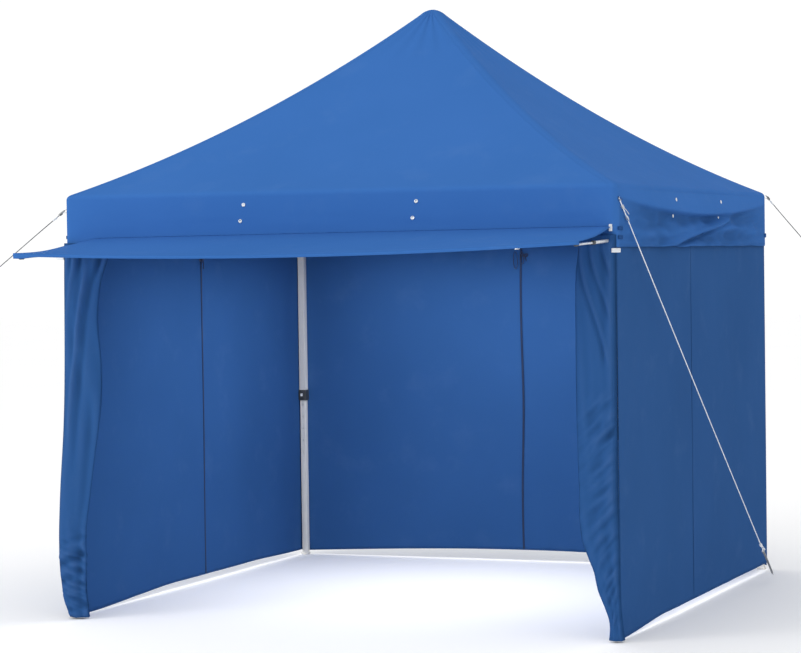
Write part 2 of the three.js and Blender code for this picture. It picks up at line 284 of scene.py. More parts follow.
def metal_material(name, colour, dull, roughness, grain, metallic=0.75):
    """Drawn tube: long faint lines, soft blotches and small handling marks."""
    n = Nodes(name)
    place = n.place()
    lines = n.noise(n.stretched(place, grain), 1.0, 3.0)
    blotches = n.noise(place, 7.0, 4.0)
    marks = n.noise(n.stretched(place, (60, 60, 14)), 1.0, 4.0, 0.7)
    base = n.ramp(lines, dull, colour, 0.3, 0.7)
    base = n.mix(n.math("MULTIPLY", n.mask(marks, 0.66, 0.74), 0.35), base, dull)
    normal = n.bump(marks, 0.0003, 0.3, n.bump(lines, 0.0002, 0.5))
    dull = n.scaled(blotches, 0.22, roughness - 0.11)
    n.set(Base_Color=base, Roughness=dull, Normal=normal, Metallic=metallic)
    return n.material


def plastic_material(name, colour, worn, roughness):
    """Moulded plastic with a fine spark texture and paler scuffs."""
    n = Nodes(name)
    place = n.place()
    grain = n.noise(place, 900.0, 2.0)
    scuffs = n.noise(place, 55.0, 5.0, 0.7)
    base = n.ramp(n.noise(place, 12.0, 2.0), tuple(0.85 * c for c in colour), colour, 0.3, 0.7)
    base = n.mix(n.math("MULTIPLY", n.mask(scuffs, 0.62, 0.72), 0.4), base, worn)
    dull = n.scaled(scuffs, 0.2, roughness - 0.1)
    n.set(Base_Color=base, Roughness=dull, Normal=n.bump(grain, 0.00015, 0.5))
    return n.material


def cord_material(name, colour, shadow):
    """Braided cord: the braid is geometry, and this adds fibre and grime."""
    n = Nodes(name)
    place = n.place()
    fibre = n.noise(place, 700.0, 3.0)
    base = n.ramp(n.noise(place, 14.0, 3.0), shadow, colour, 0.3, 0.6)
    base = n.mix(n.math("MULTIPLY", fibre, 0.25), base, shadow)
    n.set(Base_Color=base, Roughness=n.scaled(fibre, 0.2, 0.65), Normal=n.bump(fibre, 0.0002, 0.6))
    n.set(Sheen_Weight=0.2)
    return n.material


ROOF_CLOTH = fabric_material("roof_cloth", linear(58, 106, 174), linear(54, 102, 168), 0.62, 0.0012)
WALL_CLOTH = fabric_material("wall_cloth", linear(47, 85, 138), linear(43, 80, 131), 0.66, 0.0012)
CURTAIN_CLOTH = fabric_material("curtain_cloth", linear(43, 82, 134), linear(39, 76, 126), 0.6, 0.002)
TAB_CLOTH = fabric_material("tab_cloth", linear(44, 84, 142), linear(34, 68, 120), 0.8, 0.0006)
ZIP_TAPE = plastic_material("zip_tape", linear(16, 40, 78), linear(30, 60, 104), 0.7)
TUBE_METAL = metal_material(
    "tube_metal", linear(222, 220, 215), linear(207, 206, 203), 0.42, (500, 500, 5), metallic=0.12
)
ZINC_METAL = metal_material("zinc_metal", linear(232, 234, 236), linear(190, 194, 198), 0.34, (40, 40, 40))
PEG_METAL = metal_material("peg_metal", linear(150, 152, 156), linear(110, 112, 116), 0.45, (60, 60, 400))
DARK_PLASTIC = plastic_material("dark_plastic", linear(58, 62, 66), linear(98, 102, 106), 0.55)
PALE_PLASTIC = plastic_material("pale_plastic", linear(226, 229, 231), linear(190, 194, 198), 0.45)
WHITE_CORD = cord_material("white_cord", linear(252, 253, 254), linear(232, 236, 242))
# White cord painted grey: painted shade on the two short ropes.
SHADED_WHITE_CORD = cord_material("white_cord_painted_shade", linear(126, 128, 128), linear(88, 90, 92))
NAVY_CORD = cord_material("navy_cord", linear(22, 48, 92), linear(12, 28, 56))


# ---- Mesh helpers ----
def make_piece(name, points, faces, material):
    """A mesh piece from points in the legs' centred frame."""
    mesh = bpy.data.meshes.new(name)
    shifted = np.asarray(points, float) + (0, CENTRE_Y, 0)
    mesh.from_pydata(shifted.tolist(), [], [tuple(int(i) for i in f) for f in faces])
    mesh.materials.append(material)
    mesh.shade_smooth()
    mesh.update()
    piece = bpy.data.objects.new(name, mesh)
    bpy.context.scene.collection.objects.link(piece)
    return piece


def grid_faces(rows, columns, closed=False, flip=False):
    """Quads of a grid of points laid row by row, whose rows may close on themselves."""
    faces = []
    for i in range(rows - 1):
        for j in range(columns if closed else columns - 1):
            k = (j + 1) % columns
            quad = [i * columns + j, i * columns + k, (i + 1) * columns + k, (i + 1) * columns + j]
            faces.append(quad[::-1] if flip else quad)
    return faces


def end_caps(rings, count):
    """The first and last faces of a closed bar made of rings of count points."""
    return [list(range(count - 1, -1, -1)), [(rings - 1) * count + j for j in range(count)]]


def mark(piece, name, values):
    """Gives each point of a piece a value that its material reads."""
    attribute = piece.data.attributes.new(name, "FLOAT", "POINT")
    attribute.data.foreach_set("value", np.asarray(values, np.float32).ravel())


def unit(vector):
    return vector / np.linalg.norm(vector)


def dress(piece, cloth, seam, along):
    """Gives a cloth piece its coordinates in metres and its distance from and along the nearest seam."""
    mesh = piece.data
    layer = mesh.uv_layers.new(name="cloth")
    loops = np.zeros(len(mesh.loops), int)
    mesh.loops.foreach_get("vertex_index", loops)
    layer.data.foreach_set("uv", np.asarray(cloth, np.float32)[loops].ravel())
    mark(piece, "seam_distance", seam)
    mark(piece, "seam_along", along)


def thicken(piece, thickness=0.0012):
    modifier = piece.modifiers.new("cloth_thickness", "SOLIDIFY")
    modifier.thickness = thickness
    modifier.offset = 0


def smooth_path(points, count):
    """Catmull-Rom through the points, evenly spaced, in count steps."""
    given = np.asarray(points, float)
    ends = np.vstack([2 * given[0] - given[1], given, 2 * given[-1] - given[-2]])
    fine = []
    for a, b, c, d in zip(ends[:-3], ends[1:-2], ends[2:-1], ends[3:]):
        t = np.linspace(0, 1, 24, endpoint=False)[:, None]
        fine.append(
            0.5 * (2 * b + (c - a) * t + (2 * a - 5 * b + 4 * c - d) * t**2 + (3 * b - a - 3 * c + d) * t**3)
        )
    line = np.vstack([*fine, given[-1:]])
    at = np.concatenate([[0], np.cumsum(np.linalg.norm(np.diff(line, axis=0), axis=1))])
    even = np.linspace(0, at[-1], count + 1)
    return np.stack([np.interp(even, at, line[:, k]) for k in range(3)], axis=1)


def frames_along(path):
    """Tangent, side and up vectors at each point of a path, without twist."""
    tangents = np.gradient(path, axis=0)
    tangents /= np.linalg.norm(tangents, axis=1)[:, None]
    side = np.cross(tangents[0], (0.0, 0.0, 1.0) if abs(tangents[0][2]) < 0.9 else (1.0, 0.0, 0.0))
    sides, ups = [], []
    for tangent in tangents:
        side = side - tangent * (side @ tangent)
        side /= np.linalg.norm(side)
        sides.append(side)
        ups.append(np.cross(side, tangent))
    return tangents, np.array(sides), np.array(ups)


def tube(path, radius, sides=10, strands=0, lay=0.02):
    """Points and faces of a closed tube along a path. Strands twist round it once in each lay."""
    path = np.asarray(path, float)
    _, side, up = frames_along(path)
    radius = np.broadcast_to(np.asarray(radius, float), len(path))
    at = np.concatenate([[0], np.cumsum(np.linalg.norm(np.diff(path, axis=0), axis=1))])
    angle = np.linspace(0, 2 * math.pi, sides, endpoint=False)
    rings = []
    for i, centre in enumerate(path):
        reach = np.full(sides, radius[i])
        if strands:
            reach = radius[i] * (0.93 + 0.09 * np.cos(strands * (angle - 2 * math.pi * at[i] / lay)))
        rings.append(
            centre + reach[:, None] * (np.cos(angle)[:, None] * side[i] + np.sin(angle)[:, None] * up[i])
        )
    points = np.vstack([*rings, path[:1], path[-1:]])
    faces = grid_faces(len(path), sides, closed=True)
    first, last = len(path) * sides, len(path) * sides + 1
    for j in range(sides):
        k = (j + 1) % sides
        faces.append([first, k, j])
        faces.append([last, (len(path) - 1) * sides + j, (len(path) - 1) * sides + k])
    return points, faces


def loft(path, outline, scales=None):
    """Points and faces of a closed bar whose outline (side, up) is carried along a path."""
    path = np.asarray(path, float)
    _, side, up = frames_along(path)
    outline = np.asarray(outline, float)
    scales = np.ones(len(path)) if scales is None else scales
    rings = [
        path[i] + scales[i] * (outline[:, :1] * side[i] + outline[:, 1:] * up[i]) for i in range(len(path))
    ]
    count = len(outline)
    return np.vstack(rings), grid_faces(len(path), count, closed=True) + end_caps(len(path), count)


def turned(points, place, axis):
    """Points made round +Z, turned to another axis and placed."""
    turn = Vector((0, 0, 1)).rotation_difference(Vector(axis)).to_matrix()
    return points @ np.array(turn).T + np.asarray(place, float)


def lathe(profile, sides, place, axis):
    """Points and faces of a solid turned round an axis. The profile (radius, height) ends on the axis."""
    angle = np.linspace(0, 2 * math.pi, sides, endpoint=False)
    rings = [
        np.stack([r * np.cos(angle), r * np.sin(angle), np.full(sides, h)], axis=1) for r, h in profile[1:-1]
    ]
    points = np.vstack([*rings, [[0, 0, profile[0][1]]], [[0, 0, profile[-1][1]]]])
    faces = grid_faces(len(rings), sides, closed=True)
    first, last = len(points) - 2, len(points) - 1
    for j in range(sides):
        k = (j + 1) % sides
        faces += [[first, k, j], [last, (len(rings) - 1) * sides + j, (len(rings) - 1) * sides + k]]
    return turned(points, place, axis), faces


def ring_solid(radius, wire, place, axis, sides=20, wire_sides=8):
    """Points and faces of a torus round an axis."""
    a = np.linspace(0, 2 * math.pi, sides, endpoint=False)[:, None]
    b = np.linspace(0, 2 * math.pi, wire_sides, endpoint=False)
    reach = radius + wire * np.cos(b)
    points = np.stack([reach * np.cos(a), reach * np.sin(a), wire * np.sin(b) + 0 * a], axis=2).reshape(-1, 3)
    faces = []
    for i in range(sides):
        for j in range(wire_sides):
            i2, j2 = (i + 1) % sides, (j + 1) % wire_sides
            faces.append([p * wire_sides + q for p, q in ((i, j), (i2, j), (i2, j2), (i, j2))])
    return turned(points, place, axis), faces


def rounded_bar(half, rounding, steps=3):
    """Outline of a rectangle with round corners, half = (half width, half height)."""
    outline = []
    for k, (sx, sy) in enumerate(((1, 1), (-1, 1), (-1, -1), (1, -1))):
        for i in range(steps + 1):
            a = math.pi / 2 * (k + i / steps)
            x = sx * (half[0] - rounding) + rounding * math.cos(a)
            y = sy * (half[1] - rounding) + rounding * math.sin(a)
            outline.append((x, y))
    return outline


def together(parts):
    """Several (points, faces) as one."""
    points, faces, start = [], [], 0
    for part_points, part_faces in parts:
        points.append(np.asarray(part_points, float))
        faces += [[start + i for i in face] for face in part_faces]
        start += len(part_points)
    return np.vstack(points), faces


def rumple(x, y, size, seed):
    """Smooth noise from -1 to 1 at points x, y, with its size given across and along."""
    across, along, layer = np.broadcast_arrays(np.asarray(x) / size[0], np.asarray(y) / size[1], seed)
    found = [noise.noise(Vector(p)) for p in zip(across.ravel(), along.ravel(), layer.ravel())]
    return np.array(found).reshape(across.shape)


def ease(value, low, high):
    """0 below low, 1 above high and smooth between them."""
    t = np.clip((value - low) / (high - low), 0, 1)
    return t * t * (3 - 2 * t)


def hump(value, at, width):
    return np.exp(-(((value - at) / width) ** 2))


def mark_folds(piece, heights, reach, depth):
    """Marks a grid's hollows, where painted shade darkens the colour, and its crests, where a painted
    highlight pales it.
    """
    padded = np.pad(heights, reach, mode="edge")
    steps = range(2 * reach + 1)
    rows, columns = heights.shape
    mean = sum(padded[i : i + rows, j : j + columns] for i in steps for j in steps) / len(steps) ** 2
    mark(piece, "painted_shade", np.clip((mean - heights) / depth, 0, 1))
    mark(piece, "painted_highlight", np.clip((heights - mean) / depth, 0, 1))


# ---- Moving with the frame ----
LEG_TOP = 1.90  # above this height cloth hangs from the upper legs; below, it is shared with the feet
PLEAT_SHARE = 0.035


def centred_points(piece):
    return np.array([v.co for v in piece.data.vertices]) - (0, CENTRE_Y, 0)


def follow(piece, shares):
    """Moves a piece's points with several bodies, each point by its own share of each body's travel."""
    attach(piece, ROOT)
    for body, share in shares.items():
        share = np.clip(share, 0, 1)
        if share.max() < 1e-4:
            continue
        group = piece.vertex_groups.new(name=body)
        for i in np.flatnonzero(share > 1e-5):
            group.add([int(i)], float(share[i]), "REPLACE")
        hook = piece.modifiers.new(f"follow_{body}", "HOOK")
        hook.object = frame["bodies"][body]
        hook.vertex_group = group.name
        hook.falloff_type = "NONE"
        hook.matrix_inverse = Matrix.Identity(4)
    bring_hooks_first(piece)


def bring_hooks_first(piece):
    """Hooks act before thickness and smoothing, so that a folded cloth keeps its thickness."""
    for name in [m.name for m in piece.modifiers if m.type != "HOOK"]:
        piece.modifiers.move(piece.modifiers.find(name), len(piece.modifiers) - 1)


def hang_on_frame(piece, pleats=None, rises=False, peak=False):
    """Cloth stretched between the four legs gathers as they close.

    It may also rise with the feet, or follow the peak, where it keeps its width over the mast's cap.
    """
    points = centred_points(piece)
    reach = np.maximum(np.abs(points[:, 0]), np.abs(points[:, 1]))
    beyond_cap = np.clip(reach - CAP_HALF, 0, None) / (LEG - CAP_HALF) / np.maximum(reach, 1e-6)
    gather = beyond_cap if peak else np.full(len(points), 1 / LEG)
    u = np.clip(points[:, 0] * gather, -1, 1)
    v = np.clip(points[:, 1] * gather, -1, 1)
    if pleats is not None:
        wave = 1 - PLEAT_SHARE * (1 - np.cos(2 * math.pi * pleats)) / 2
        u, v = u * wave, v * wave
    low = np.clip(1 - points[:, 2] / LEG_TOP, 0, 1) if rises else np.zeros(len(points))
    shares = {}
    for corner in CORNERS:
        sx, sy = CORNER_SIGNS[corner]
        share = (1 + sx * u) * (1 + sy * v) / 4
        shares[f"{corner}_upper_leg"] = share * (1 - low)
        shares[f"{corner}_lower_leg"] = share * low
    if peak:
        shares["peak_mast"] = np.clip(1 - reach / HALF, 0, 1)
    follow(piece, shares)


# ---- Guy ropes ----
def make_rope(name, node, route, steps, material):
    path = smooth_path(route, steps)
    points, faces = tube(path, ROPE_DIAMETER / 2, 12, strands=4, lay=0.03)
    rope = make_piece(name, points, faces, material)
    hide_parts(node)
    return rope, path


def corner_loop(start, out, length, width=0.010):
    """A webbing loop sewn to the corner, which the rope's hook goes through."""
    start, out = np.asarray(start, float), np.asarray(out, float)
    across = np.array([0.0, 0.0, 1.0])
    t = np.linspace(0, math.pi, 15)
    path = start + np.outer(np.sin(t) * length, out) + np.outer(np.cos(t) * 0.008, across)
    return loft(path, rounded_bar((width / 2, 0.0008), 0.0007, 2))


def cord_adjuster(path, at):
    """A flat three-hole adjuster on a rope, lying along it."""
    index = int(at * (len(path) - 1))
    t = np.linspace(-1, 1, 9)
    line = path[index] + np.outer(0.017 * t, unit(path[index + 1] - path[index]))
    return loft(line, rounded_bar((0.0075, 0.0042), 0.003), 1 - 0.35 * np.abs(t) ** 3)


def rope_knot(path, at):
    """A round knot on a rope: a short helix drawn tight."""
    index = int(at * (len(path) - 1))
    tangents, side, up = frames_along(path)
    turns = 3.2
    t = np.linspace(0, turns * 2 * math.pi, 60)
    wide = 0.006 * (0.9 + 0.15 * np.sin(t / turns / 2))
    centre = path[index] + np.outer(np.linspace(-0.010, 0.010, 60), tangents[index])
    helix = centre + np.outer(wide * np.cos(t), side[index]) + np.outer(wide * np.sin(t), up[index])
    return tube(helix, 0.0022, 7)


def rope_tail(path, at, length):
    """A short free end leaving a knot, drooping beside the rope."""
    index = int(at * (len(path) - 1))
    tangents, side, _ = frames_along(path)
    t = np.linspace(0, 1, 12)[:, None]
    line = path[index] + t * length * 0.55 * tangents[index] + t * length * 0.5 * side[index]
    line = line - t**2 * (0, 0, length * 0.35)
    return tube(line, 0.0019, 7)


def hook_shape(place, along):
    """An open S hook in wire."""
    direction = unit(along)
    side = unit(np.cross(direction, (0, 0, 1.0)))
    t = np.linspace(-1, 1, 40)
    line = place + np.outer(0.016 * t, direction) + np.outer(0.006 * np.sin(t * math.pi * 1.3), side)
    return tube(line, 0.0018, 8)


def build_pegged_rope():
    """The front right rope, from its corner loop to the peg's eye, and the peg."""
    peg_points, peg_faces, eye = peg_solid()
    peg = make_piece("ground_peg_twisted", peg_points, peg_faces, PEG_METAL)
    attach(peg, ROOT)
    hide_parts("ground_peg")

    rope, path = make_rope("guy_rope_front_right", "front_right_guy_rope", FRONT_RIGHT_ROPE, 640, WHITE_CORD)
    fittings = [
        hook_shape(path[2], path[6] - path[0]),
        rope_knot(path, 0.022),
        rope_tail(path, 0.022, 0.05),
        cord_adjuster(path, 0.05),
    ]
    top = make_piece("guy_fittings_front_right", *together(fittings), ZINC_METAL)
    knot = [rope_knot(path, 0.985), rope_tail(path, 0.985, 0.04), eye_wrap(path, eye)]
    end = make_piece("guy_knot_front_right", *together(knot), WHITE_CORD)
    follow(rope, {"front_right_upper_leg": held_share(rope, path)})
    follow(top, {"front_right_upper_leg": np.full(len(top.data.vertices), 0.97)})
    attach(end, ROOT)


def build_short_rope(side, route):
    """A rope whose far end, just past the view, is looped round whatever holds it."""
    # the short rope and its end loop are white cord with painted shade
    rope, path = make_rope(f"guy_rope_{side}", f"{side}_guy_rope", route, 120, SHADED_WHITE_CORD)
    fittings = together([hook_shape(path[5], path[10] - path[0]), cord_adjuster(path, 0.13)])
    top = make_piece(f"guy_fittings_{side}", *fittings, PALE_PLASTIC)
    end = make_piece(f"guy_end_{side}", *together([rope_knot(path, 0.05), end_loop(path)]), SHADED_WHITE_CORD)
    for piece in (rope, top, end):
        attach(piece, f"{side}_upper_leg")


def build_ropes():
    """The three guy ropes with their hooks, adjusters and knots, and a loop at each corner."""
    build_pegged_rope()
    build_short_rope("front_left", FRONT_LEFT_ROPE)
    build_short_rope("back_right", BACK_RIGHT_ROPE)
    for side, start, out in (
        ("front_left", (-1.497, -1.480, 2.128), (-0.8, -0.6, -0.2)),
        ("front_right", (1.496, -1.474, 2.134), (0.9, 0.3, -0.2)),
        ("back_right", (1.497, 1.494, 2.188), (0.9, 0.2, -0.3)),
        ("back_left", (-1.497, 1.494, 2.188), (-0.9, 0.2, -0.3)),
    ):
        loop = make_piece(f"corner_loop_{side}", *corner_loop(start, out, 0.026), NAVY_CORD)
        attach(loop, f"{side}_upper_leg")


def held_share(rope, path):
    """1 at the corner, where the rope follows the leg, down to 0 at the peg, which stays in the ground."""
    way = path[-1] - path[0]
    return 1 - np.clip((centred_points(rope) - path[0]) @ way / (way @ way), 0, 1)


def end_loop(path):
    """The loop in a rope's end that goes round whatever holds it."""
    tangent = unit(path[-1] - path[-4])
    return ring_solid(0.014, 0.0026, path[-1] + 0.010 * tangent, np.cross(tangent, (0, 0, 1)), 24, 8)


def eye_wrap(path, eye):
    """The rope's last turn, through the peg's eye."""
    tangent = unit(path[-1] - path[-4])
    centre = (path[-1] + eye) / 2
    return ring_solid(0.010, 0.0026, centre, np.cross(tangent, (0.2, 0.1, 1)), 24, 8)


PEG_LENGTH = 0.232
PEG_TURNS = 3.5


def peg_solid():
    """A twisted square peg in line with the front right rope, with a round eye at its head."""
    path = np.asarray(FRONT_RIGHT_ROPE, float)
    way = unit(path[-1] - path[-2])
    eye = path[-1] + way * 0.0148
    line = eye + np.outer(np.linspace(0.012, PEG_LENGTH, 46), way)
    _, side, up = frames_along(line)
    square = np.asarray(rounded_bar((0.0048, 0.0048), 0.0015, 2))
    rings = []
    for i, centre in enumerate(line):
        share = i / (len(line) - 1)
        turn = 2 * math.pi * PEG_TURNS * ease(share, 0.12, 0.8)
        taper = 1 - 0.85 * ease(share, 0.86, 1.0)
        c, s = math.cos(turn), math.sin(turn)
        spun = taper * square @ np.array([[c, -s], [s, c]])
        rings.append(centre + spun[:, :1] * side[i] + spun[:, 1:] * up[i])
    count = len(square)
    shaft = (np.vstack(rings), grid_faces(len(line), count, closed=True) + end_caps(len(line), count))
    head = ring_solid(0.011, 0.0035, eye, np.cross(way, (0, 0, 1)), 26, 10)
    return *together([shaft, head]), eye


# ---- Roof cover ----
SIDE_NORMALS = ((0, -1), (1, 0), (0, 1), (-1, 0))  # front, right, back, left
SIDE_WAYS = ((1, 0), (0, 1), (-1, 0), (0, -1))
SIDE_COLUMNS = 96
CORNER_COLUMNS = 6
CORNER_ROUNDING = 0.03
VALANCE_ROWS = 54


def hip_height(reach):
    """Height of the roof at a distance from its centre, measured square to the nearest side."""
    inward = HALF - reach
    cone = EAVE + EAVE_SLOPE * inward + HIP_CURVE * inward**2
    return np.where(reach < CAP_HALF, PEAK - CAP_CURVE * reach**2, cone)


def square_ring(reach, rounding):
    """Points round a square with rounded corners, and each one's side and place from -1 to 1 along it."""
    points, sides, places = [], [], []
    straight = reach - rounding
    for k in range(4):
        normal, way = np.array(SIDE_NORMALS[k], float), np.array(SIDE_WAYS[k], float)
        for f in np.linspace(-1, 1, SIDE_COLUMNS + 1):
            points.append(way * f * straight + normal * reach)
            sides.append(k)
            places.append(f)
        for i in range(1, CORNER_COLUMNS):
            a = math.pi / 2 * i / CORNER_COLUMNS
            corner = (way + normal) * straight
            points.append(corner + rounding * (math.cos(a) * normal + math.sin(a) * way))
            sides.append(k)
            places.append(1.0)
    return np.array(points), np.array(sides), np.array(places)


def swag_height(place):
    """The hanging fold below the eave, which sags between the corners."""
    return 2.076 + 0.072 * place**2


def valance_stand(side, place, z):
    """How far the valance stands out of its plane. The awning draws the front smooth, the others sag."""
    fold = swag_height(place)
    belly = 1 - place**2
    sag = belly * (0.006 + 0.034 * ease(EAVE - z, 0.0, EAVE - fold))
    second = 1.975 + 0.030 * ease(place, -0.55, 0.35) - 0.030 * ease(place, 0.35, 1.0)
    low = 0.003 + belly * (0.020 * hump(z, second, 0.030) + 0.012 * hump(z, 1.905, 0.022))
    stand = sag + (low - sag) * ease(fold - z, 0.0, 0.024)
    fold_line = z - 1.955 - 0.17 * place
    crossed = ease(place, -0.62, -0.35) * (1 - ease(place, 0.30, 0.50))
    stand = stand + crossed * (0.018 * hump(fold_line, 0.026, 0.018) - 0.016 * hump(fold_line, 0.0, 0.011))
    x = place * HALF
    creases = 0.007 * rumple(x + 1.2 * z, z - 0.10 * place, (0.26, 0.040), 3.1 + side)
    creases = creases - 0.012 * np.abs(rumple(x - 0.8 * z, z + 0.05 * place, (0.20, 0.050), 8.4 + side))
    drop = ease(EAVE - z, 0.07, 0.15)
    quiet = 1 - ease(np.abs(place), 0.92, 1.0)
    drawn = 0.0012 * drop * rumple(place, z, (0.3, 0.05), 3.0)
    return np.where(side == 0, drawn, (stand + drop * creases) * quiet)


def valance_painted_shade(side, place, z, stand):
    """Painted shade on the valance: below the sagging fold, and most where it lies furthest back."""
    below = ease(swag_height(place) - z, -0.004, 0.014)
    depth = 0.30 + 0.70 * np.clip((0.016 - stand) / 0.016, 0, 1)
    quiet = 1 - 0.55 * ease(np.abs(place), 0.5, 0.97)
    return np.where(side == 0, 0.0, below * depth * quiet * (1 - ease(np.abs(place), 0.985, 1.0)))


def front_bottom(place):
    """The front valance ends at the awning's seam, and reaches full depth only at the corners."""
    raised = awning_back(place * HALF) - 0.002 - VALANCE_LOW
    return VALANCE_LOW + raised * (1 - ease(np.abs(place), 0.935, 0.965))


def awning_back(x):
    """Height of the seam where the awning leaves the front valance."""
    return 1.992 + 0.006 * x - 0.030 * hump(x, -1.475, 0.10)


def roof_profile():
    """Distances from the centre and heights down one panel, from the peak to the eave's fold."""
    near = [0.012, 0.024, 0.036, 0.048, 0.06, 0.075, 0.095, 0.12, 0.15]
    far = np.linspace(0.19, HALF - FOLD_ROUNDING, 38)
    reach = np.concatenate([near, far])
    height = hip_height(reach)
    t = np.linspace(0, 1, 7)[1:]
    start = np.array([HALF - FOLD_ROUNDING, hip_height(np.array(HALF - FOLD_ROUNDING)).item()])
    knee, end = np.array([HALF, EAVE]), np.array([HALF, EAVE - FOLD_ROUNDING])
    curve = np.array([(1 - s) ** 2 * start + 2 * s * (1 - s) * knee + s**2 * end for s in t])
    return np.concatenate([reach, curve[:, 0]]), np.concatenate([height, curve[:, 1]])


def build_roof():
    reach, height = roof_profile()
    rows, cloth, seam, along, pleats = [], [], [], [], []
    run = 0.0
    for i, (r, h) in enumerate(zip(reach, height)):
        xy, sides, places = square_ring(r, min(CORNER_ROUNDING, 0.45 * r))
        z = np.full(len(xy), h)
        slack = ease(r, 0.1, 0.5) * (1 - ease(r, 1.25, 1.47)) * (1 - places**2)
        z = z - 0.012 * slack + 0.0035 * slack * rumple(xy[:, 0], xy[:, 1], (0.5, 0.5), 1.7)
        crown = ease(r, 0.02, 0.08) * (1 - ease(r, 0.22, 0.42))
        gathers = np.cos(2 * math.pi * (places * 2.5 + sides * 0.31)) * (1 - places**2)
        z = z + 0.004 * crown * gathers
        rows.append(np.column_stack([xy, z]))
        if i:
            run += math.hypot(r - reach[i - 1], h - height[i - 1])
        cloth.append(np.column_stack([places * r + 4 * sides, np.full(len(xy), run)]))
        seam.append(np.maximum(r - np.abs(places) * r, 0) * 0.7 + 0.004)
        along.append(np.full(len(xy), run))
        pleats.append((places + 1) * 4)
    top = EAVE - FOLD_ROUNDING
    xy, sides, places = square_ring(HALF, CORNER_ROUNDING)
    normals = np.array([SIDE_NORMALS[k] for k in sides], float)
    bottom = np.where((sides == 0) & (np.abs(places) < 1), front_bottom(places), VALANCE_LOW)
    # painted shade for each row: none on the roof panels, and below the swag on the side valances
    painted_shade_rows = [np.zeros(len(rows) * len(xy))]
    for i in range(1, VALANCE_ROWS + 1):
        z = top + (bottom - top) * i / VALANCE_ROWS
        wavy = 0.004 * rumple(places * HALF, 0 * places, (0.25, 1.0), 5.0) * (sides != 0)
        z = z + wavy * (i / VALANCE_ROWS) ** 3
        stand = valance_stand(sides, places, z)
        painted_shade_rows.append(valance_painted_shade(sides, places, z, stand))
        rows.append(np.column_stack([xy + normals * stand[:, None], z]))
        cloth.append(np.column_stack([places * HALF + 4 * sides, run + top - z]))
        seam.append(np.where(sides == 0, 1.0, z - VALANCE_LOW))
        along.append(places * HALF)
        pleats.append((places + 1) * 4)
    columns = len(xy)
    peak = len(rows) * columns
    points = np.vstack([*rows, [[0, 0, PEAK]]])
    faces = grid_faces(len(rows), columns, closed=True, flip=True)
    faces += [[peak, j, (j + 1) % columns] for j in range(columns)]
    roof = make_piece("roof_cover", points, faces, ROOF_CLOTH)
    dress(roof, np.vstack([*cloth, [[0, 0]]]), np.append(seam, 1.0), np.append(along, 0.0))
    # painted shade below the side valances' sagging fold
    mark(roof, "painted_shade", np.concatenate([*painted_shade_rows, [0.0]]))
    thicken(roof)
    hang_on_frame(roof, pleats=np.append(pleats, 0.0), peak=True)
    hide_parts("canopy_top")


AWNING_HALF = 1.475
AWNING_LIP = 0.016


def awning_point(x, s):
    """The awning's surface: s is 0 at its front hem and 1 at its seam."""
    hem = 1.886 + 0.0149 * (x + 0.2) ** 2
    back = awning_back(x)
    y = AWNING_FRONT + s * (-HALF - AWNING_FRONT) - 0.006 * hump(x, 0, 1.0) * (1 - s)
    z = hem + (back - hem) * s - 0.012 * np.sin(math.pi * s)
    z = z + 0.003 * (1 - s) * s * 4 * rumple(x, y, (0.5, 0.4), 6.2)
    wider = 0.022 * ease(x, 1.36, AWNING_HALF) * (1 - s)
    return np.stack([x + wider, y, z], axis=-1)


def build_awning():
    across = np.linspace(-AWNING_HALF, AWNING_HALF, 121)
    down = np.concatenate([np.linspace(1, 0.04, 34), [0.02, 0.0]])
    rows = [awning_point(across, np.full(len(across), s)) for s in down]
    lip = rows[-1].copy()
    deeper = 1 + 0.7 * ease(-across, 1.33, 1.45)
    for drop, back in ((0.004, -0.0012), (0.010, 0.0002), (AWNING_LIP, 0.002)):
        rows.append(lip + np.column_stack([0 * across, 0 * across + back, -drop * deeper]))
    points = np.vstack(rows)
    faces = grid_faces(len(rows), len(across))
    awning = make_piece("front_awning", points, faces, ROOF_CLOTH)
    grid_x = np.tile(across, len(rows))
    depth = np.repeat(np.concatenate([(1 - down) * 0.6, [0.604, 0.61, 0.616]]), len(across))
    seam = np.minimum(0.616 - depth, AWNING_HALF - np.abs(grid_x))
    seam = np.minimum(seam, depth + 0.004)
    dress(awning, np.column_stack([grid_x, depth + 2.0]), seam, grid_x + depth)
    thicken(awning)
    hang_on_frame(awning, pleats=(grid_x / AWNING_HALF + 1) * 4)


# ---- Walls ----
def wall_sheet(side, corner, way, length, hem, seed, outward):
    """A hanging wall: its lower edge follows hem(place), and place runs from 0 to 1 along it."""
    columns, rows = 130, 90
    place, fall = np.meshgrid(np.linspace(0, 1, columns), np.linspace(0, 1, rows))
    bottom = hem(place)
    z = WALL_TOP + (bottom - WALL_TOP) * fall
    s = place * length
    soft = 0.006 * rumple(s, z, (0.42, 1.6), seed) * ease(fall, 0.02, 0.4)
    soft = soft + 0.0015 * rumple(s, z, (0.12, 0.5), seed + 4)
    ends = hump(place, 0, 0.07) + hump(place, 1, 0.07)
    drawn = 0.004 * rumple(s - 0.35 * z, z, (0.10, 0.9), seed + 9) * ends
    stand = (soft + drawn) * ease(place, 0, 0.03) * ease(1 - place, 0, 0.03)
    x = corner[0] + way[0] * s + outward[0] * stand
    y = corner[1] + way[1] * s + outward[1] * stand
    points = np.stack([x, y, z], axis=-1).reshape(-1, 3)
    wall = make_piece(f"wall_{side}", points, grid_faces(rows, columns), WALL_CLOTH)
    from_side = np.minimum(s, length - s)
    seam = np.minimum(z - bottom, from_side)
    along = np.where(z - bottom < from_side, s, z)
    dress(wall, np.column_stack([s.ravel(), (WALL_TOP - z).ravel()]), seam.ravel(), along.ravel())
    thicken(wall)
    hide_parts(f"{side}_wall")
    hang_on_frame(wall, pleats=(place * 9).ravel(), rises=True)
    return wall


STRIP_TOP = 1.955
ZIP_SECTION = (0.012, 0.0022)
SEAM_SECTION = (0.008, 0.0006)


